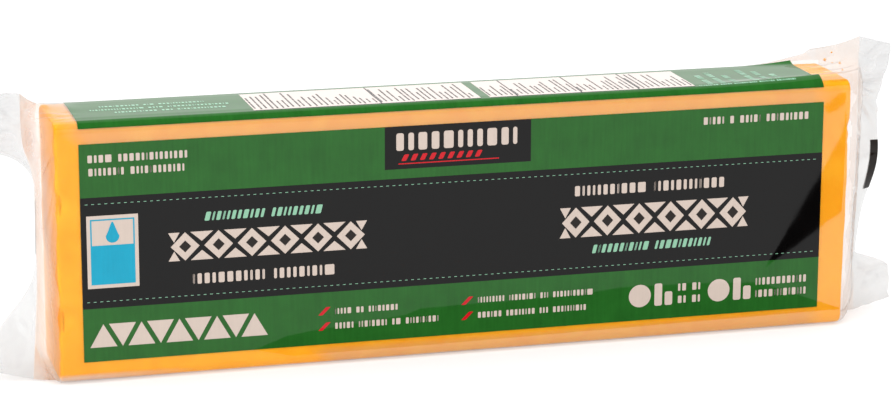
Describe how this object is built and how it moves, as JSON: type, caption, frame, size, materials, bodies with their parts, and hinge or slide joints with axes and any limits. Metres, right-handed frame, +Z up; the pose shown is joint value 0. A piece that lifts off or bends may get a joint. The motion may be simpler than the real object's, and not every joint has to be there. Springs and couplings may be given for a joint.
{
  "type": "packed cheddar block",
  "caption": "Long rectangular block of orange cheddar sealed in clear printed film, standing on its narrow side, with flat sealed film ears at both ends.",
  "frame": {"origin": "centre of the pack's footprint, on the surface it stands on", "axes": "+X along the block's length, -Y towards the printed front, +Z up"},
  "size_m": [0.3478, 0.038, 0.1062],
  "materials": {
    "sealed_pack": "gloss",
    "cheddar": "smooth waxy",
    "clear_film": "clear gloss",
    "green_ink": "gloss",
    "charcoal_ink": "gloss",
    "cream_ink": "gloss"
  },
  "bodies": {
    "root": {"sealed_pack": "sealed_pack"}
  },
  "joints": []
}
